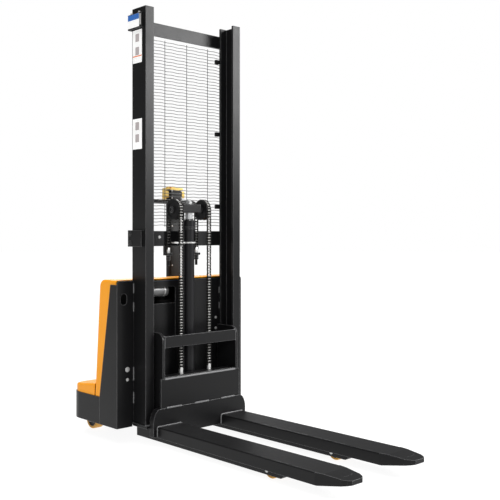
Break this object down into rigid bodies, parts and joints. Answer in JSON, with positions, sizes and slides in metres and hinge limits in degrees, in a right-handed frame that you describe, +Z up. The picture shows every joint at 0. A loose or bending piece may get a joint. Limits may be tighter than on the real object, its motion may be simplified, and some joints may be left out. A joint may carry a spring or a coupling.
{
  "type": "walkie stacker",
  "caption": "Pedestrian electric stacker with a single-stage mast, chain lift carriage, box forks over straddle legs and an offset tiller.",
  "frame": {"origin": "floor level under the middle of the truck's footprint", "axes": "+Z up, +X to the operator's left, -Y towards the fork tips"},
  "size_m": [0.8, 1.716, 2.08],
  "materials": {
    "black_steel": "satin black powder coat",
    "dark_cylinder": "satin dark paint",
    "chrome_rod": "hard chrome, polished",
    "zinc_steel": "zinc plated",
    "bearing_steel": "ground steel",
    "chain_steel": "oiled leaf chain",
    "cast_iron": "dark painted casting",
    "yellow_cover": "satin yellow-orange moulding",
    "amber_polyurethane": "amber polyurethane",
    "tiller_plastic": "fine-textured dark grey moulding",
    "red_plastic": "glossy red",
    "battery_case": "moulded case",
    "pack_metal": "grey painted pump unit",
    "hose_rubber": "braided hose cover"
  },
  "bodies": {
    "chassis": {"barrel_collar": "zinc_steel", "base_frame": "black_steel", "base_skirt": "black_steel", "battery_pack": "battery_case", "bulkhead": "black_steel", "controller": "battery_case", "drive_cover": "yellow_cover", "guard_mesh": "black_steel", "lift_barrel": "dark_cylinder", "lift_gland": "dark_cylinder", "lift_hose": "hose_rubber", "load_wheel_axles": "zinc_steel", "main_cover": "yellow_cover", "mast_mid_bar": "black_steel", "mast_top_bar": "black_steel", "mast_upright_left": "black_steel", "mast_upright_right": "black_steel", "panel_bolts": "zinc_steel", "power_pack": "pack_metal", "rear_chain_anchors": "zinc_steel", "side_panel_left": "black_steel", "side_panel_right": "black_steel", "steering_bearing": "bearing_steel"},
    "carriage": {"carriage_side_plates": "black_steel", "carriage_crossbars": "black_steel", "carriage_lower_plate": "black_steel", "heel_plate": "black_steel", "fork_right": "black_steel", "fork_left": "black_steel", "front_chain_anchors": "zinc_steel"},
    "crosshead": {"lift_ram": "chrome_rod", "crosshead": "black_steel", "pulley_axles": "bearing_steel", "guide_rod": "dark_cylinder", "lift_chain_right": "chain_steel", "lift_chain_left": "chain_steel"},
    "pulley_right": {"chain_pulley_right": "cast_iron"},
    "pulley_left": {"chain_pulley_left": "cast_iron"},
    "roller_upper_right": {"upper_roller_right": "bearing_steel"},
    "roller_upper_left": {"upper_roller_left": "bearing_steel"},
    "roller_lower_right": {"lower_roller_right": "bearing_steel"},
    "roller_lower_left": {"lower_roller_left": "bearing_steel"},
    "wheel_right": {"load_wheel_right": "amber_polyurethane"},
    "wheel_left": {"load_wheel_left": "amber_polyurethane"},
    "caster": {"caster_fork": "bearing_steel"},
    "caster_roll": {"caster_wheel": "amber_polyurethane"},
    "drive": {"drive_gearbox": "cast_iron", "drive_motor": "dark_cylinder", "steering_head": "cast_iron"},
    "drive_roll": {"drive_wheel": "amber_polyurethane"},
    "tiller": {"tiller_arm": "tiller_plastic", "handle_loop": "black_steel", "tiller_head": "tiller_plastic", "head_cap": "yellow_cover"},
    "throttle": {"throttle_wings": "yellow_cover"},
    "belly": {"belly_button": "yellow_cover"},
    "horn": {"horn_button": "red_plastic"},
    "rocker": {"lift_rocker": "tiller_plastic"},
    "estop": {"estop_button": "red_plastic"},
    "key": {"key_switch": "zinc_steel"}
  },
  "joints": [
    {"name": "carriage_lift", "type": "slide", "parent": "chassis", "child": "carriage", "axis": [0, 0, 1], "range_m": [0, 1.49]},
    {"name": "ram_lift", "type": "slide", "parent": "chassis", "child": "crosshead", "axis": [0, 0, 1], "range_m": [0, 0.7455], "deforming": ["lift_chain_right", "lift_chain_left"]},
    {"name": "pulley_right_spin", "type": "hinge", "parent": "crosshead", "child": "pulley_right", "pos_m": [-0.09, 0.38, 1.12], "axis": [1, 0, 0], "range_deg": [-860, 0]},
    {"name": "pulley_left_spin", "type": "hinge", "parent": "crosshead", "child": "pulley_left", "pos_m": [0.09, 0.38, 1.12], "axis": [1, 0, 0], "range_deg": [-860, 0]},
    {"name": "roller_upper_right_spin", "type": "hinge", "parent": "carriage", "child": "roller_upper_right", "pos_m": [-0.272, 0.384, 0.47], "axis": [1, 0, 0], "range_deg": [0, 2100]},
    {"name": "roller_upper_left_spin", "type": "hinge", "parent": "carriage", "child": "roller_upper_left", "pos_m": [0.272, 0.384, 0.47], "axis": [1, 0, 0], "range_deg": [0, 2100]},
    {"name": "roller_lower_right_spin", "type": "hinge", "parent": "carriage", "child": "roller_lower_right", "pos_m": [-0.272, 0.384, 0.15], "axis": [1, 0, 0], "range_deg": [-2100, 0]},
    {"name": "roller_lower_left_spin", "type": "hinge", "parent": "carriage", "child": "roller_lower_left", "pos_m": [0.272, 0.384, 0.15], "axis": [1, 0, 0], "range_deg": [-2100, 0]},
    {"name": "load_wheel_right_spin", "type": "hinge", "parent": "chassis", "child": "wheel_right", "pos_m": [-0.2, -0.434, 0.04], "axis": [1, 0, 0], "continuous": true},
    {"name": "load_wheel_left_spin", "type": "hinge", "parent": "chassis", "child": "wheel_left", "pos_m": [0.2, -0.434, 0.04], "axis": [1, 0, 0], "continuous": true},
    {"name": "caster_swivel", "type": "hinge", "parent": "chassis", "child": "caster", "pos_m": [-0.275, 0.7675, 0.12], "axis": [0, 0, 1], "continuous": true},
    {"name": "caster_spin", "type": "hinge", "parent": "caster", "child": "caster_roll", "pos_m": [-0.275, 0.8025, 0.05], "axis": [1, 0, 0], "continuous": true},
    {"name": "steering", "type": "hinge", "parent": "chassis", "child": "drive", "pos_m": [0.17, 0.72, 0.2], "axis": [0, 0, 1], "range_deg": [-90, 90]},
    {"name": "drive_spin", "type": "hinge", "parent": "drive", "child": "drive_roll", "pos_m": [0.17, 0.72, 0.09], "axis": [1, 0, 0], "continuous": true},
    {"name": "tiller_tilt", "type": "hinge", "parent": "drive", "child": "tiller", "pos_m": [0.17, 0.72, 0.44], "axis": [-1, 0, 0], "range_deg": [0, 80], "stiffness_Nm_per_rad": 45, "springref_deg": -14.32},
    {"name": "throttle_twist", "type": "hinge", "parent": "tiller", "child": "throttle", "pos_m": [0.17, 0.716, 1.215], "axis": [1, 0, 0], "range_deg": [-30, 30], "stiffness_Nm_per_rad": 0.6},
    {"name": "belly_press", "type": "slide", "parent": "tiller", "child": "belly", "axis": [0, 0, -1], "range_m": [0, 0.006], "stiffness_N_per_m": 600, "springref_m": -0.002},
    {"name": "horn_press", "type": "slide", "parent": "tiller", "child": "horn", "axis": [0, 0, -1], "range_m": [0, 0.003], "stiffness_N_per_m": 400, "springref_m": -0.001},
    {"name": "lift_rock", "type": "hinge", "parent": "tiller", "child": "rocker", "pos_m": [0.17, 0.76, 1.218], "axis": [1, 0, 0], "range_deg": [-8, 8], "stiffness_Nm_per_rad": 0.2},
    {"name": "estop_press", "type": "slide", "parent": "chassis", "child": "estop", "axis": [0, -1, 0], "range_m": [0, 0.005]},
    {"name": "key_turn", "type": "hinge", "parent": "chassis", "child": "key", "pos_m": [-0.15, 0.58962, 0.69], "axis": [0, 1, 0], "range_deg": [0, 60]}
  ],
  "couplings": [
    {"joint": "ram_lift", "follows": "carriage_lift", "ratio": 0.5},
    {"joint": "pulley_right_spin", "follows": "carriage_lift", "rad_per_m": -9.9701},
    {"joint": "pulley_left_spin", "follows": "carriage_lift", "rad_per_m": -9.9701},
    {"joint": "roller_upper_right_spin", "follows": "carriage_lift", "rad_per_m": 24.39},
    {"joint": "roller_upper_left_spin", "follows": "carriage_lift", "rad_per_m": 24.39},
    {"joint": "roller_lower_right_spin", "follows": "carriage_lift", "rad_per_m": -24.39},
    {"joint": "roller_lower_left_spin", "follows": "carriage_lift", "rad_per_m": -24.39}
  ]
}
